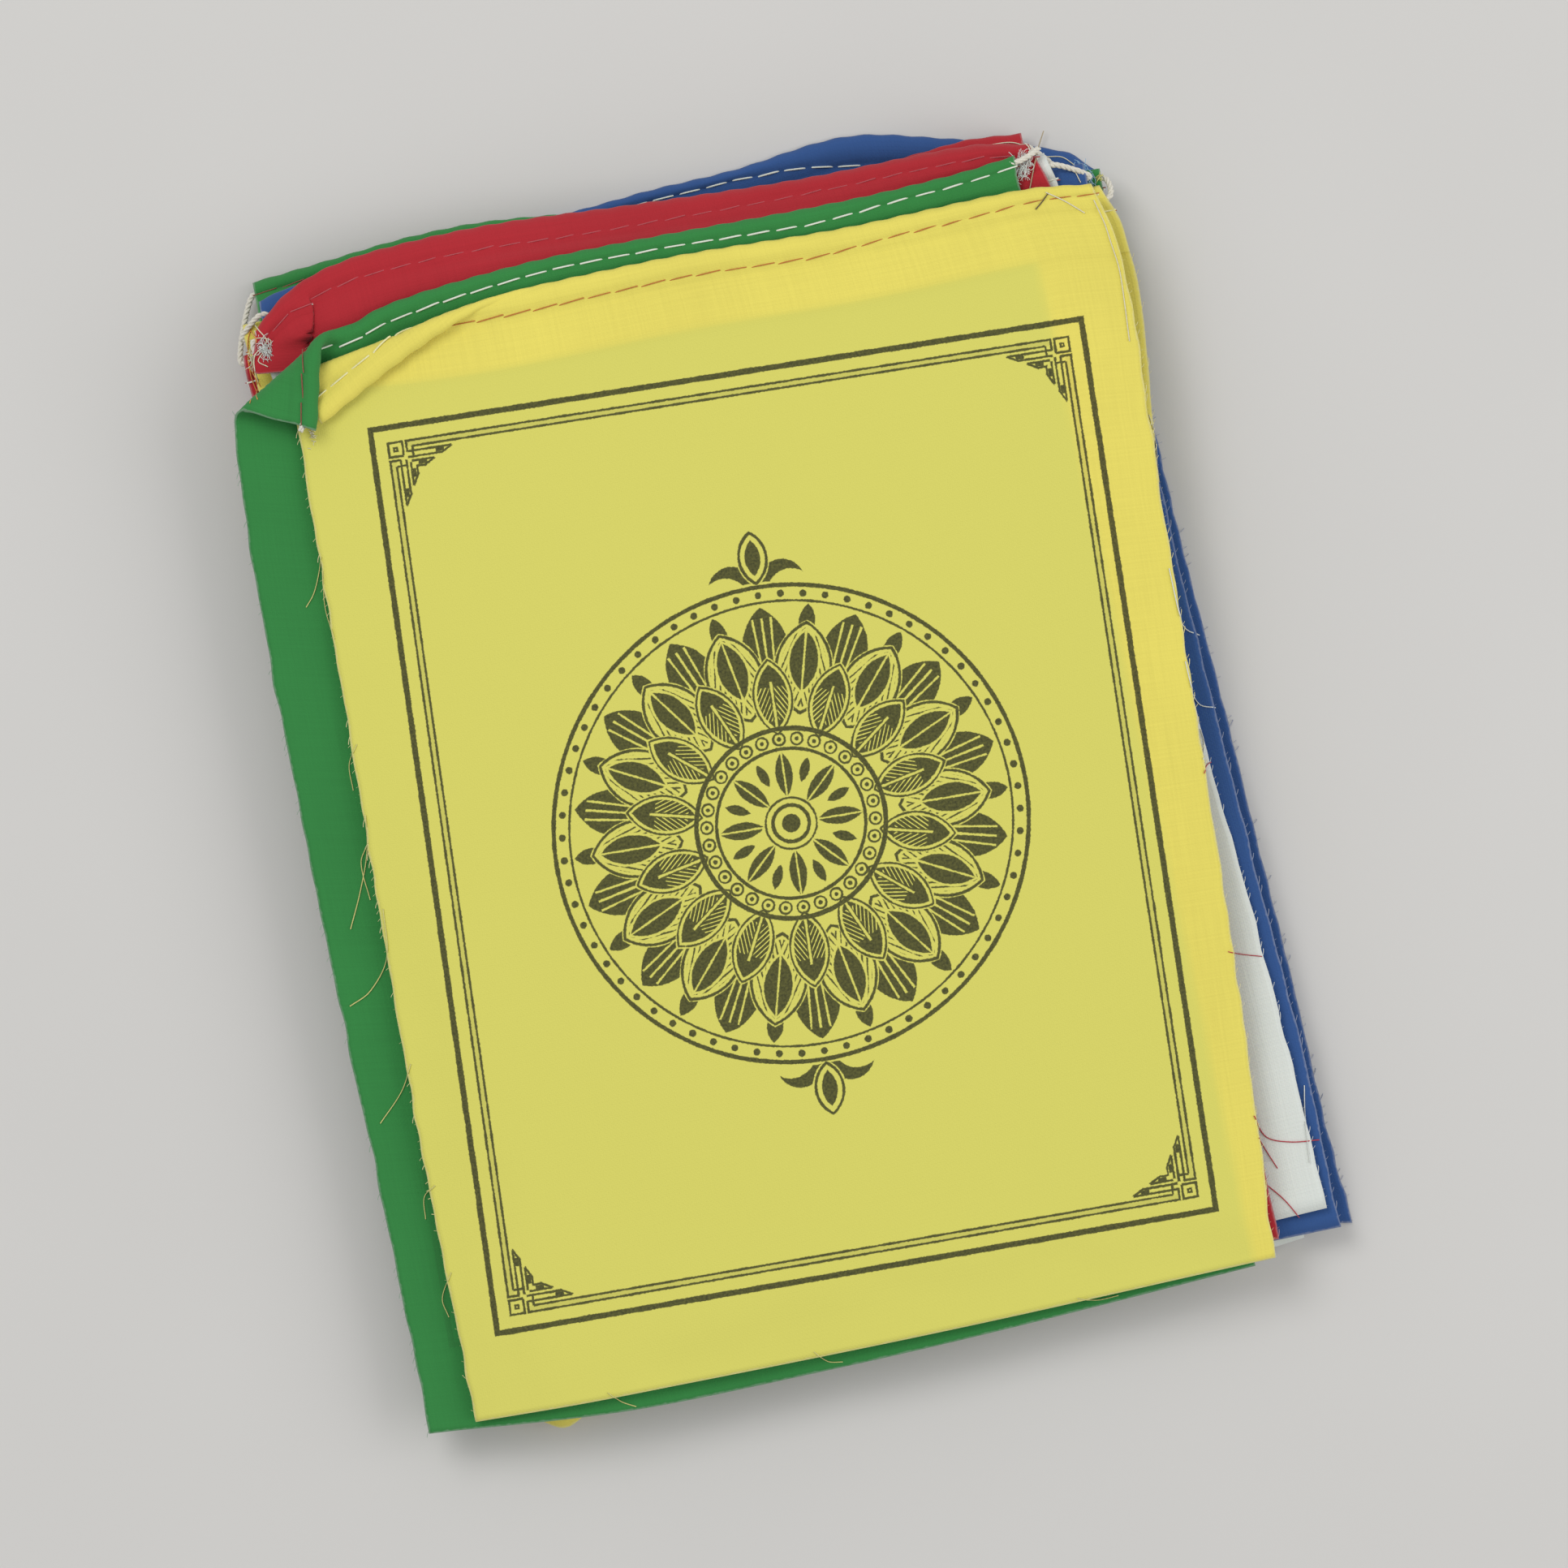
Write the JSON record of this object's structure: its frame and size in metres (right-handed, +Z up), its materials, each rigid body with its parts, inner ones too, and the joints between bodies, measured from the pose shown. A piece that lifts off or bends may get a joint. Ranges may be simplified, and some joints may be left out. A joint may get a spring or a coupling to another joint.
{
  "type": "tibetan prayer flag string",
  "caption": "String of printed cotton prayer flags in yellow, green, red, white and blue, folded flag on flag into a flat pile",
  "frame": {"origin": "on the surface that the pile lies on, under the middle of the pile's outline", "axes": "+Z up out of the pile, +Y from the flags' lower edges to their headings, +X to the right, seen from above with the headings at the top"},
  "size_m": [0.1956, 0.248, 0.0268],
  "materials": {
    "yellow_cotton": "plain-woven printed cotton, matt",
    "green_cotton": "plain-woven printed cotton, matt",
    "red_cotton": "plain-woven printed cotton, matt",
    "white_cotton": "plain-woven printed cotton, matt",
    "blue_cotton": "plain-woven printed cotton, matt",
    "string_cotton": "twisted undyed cotton string, matt"
  },
  "bodies": {
    "root": {"flag_01_yellow": "yellow_cotton", "flag_02_green": "green_cotton", "flag_03_red": "red_cotton", "flag_04_white": "white_cotton", "flag_05_blue": "blue_cotton", "flag_06_yellow": "yellow_cotton", "flag_07_green": "green_cotton", "flag_08_red": "red_cotton", "flag_09_white": "white_cotton", "flag_10_blue": "blue_cotton", "string_turn_01": "string_cotton", "string_turn_02": "string_cotton", "string_turn_03": "string_cotton", "string_turn_04": "string_cotton", "string_turn_05": "string_cotton", "string_turn_06": "string_cotton", "string_turn_07": "string_cotton", "string_turn_08": "string_cotton", "string_turn_09": "string_cotton"}
  },
  "joints": []
}
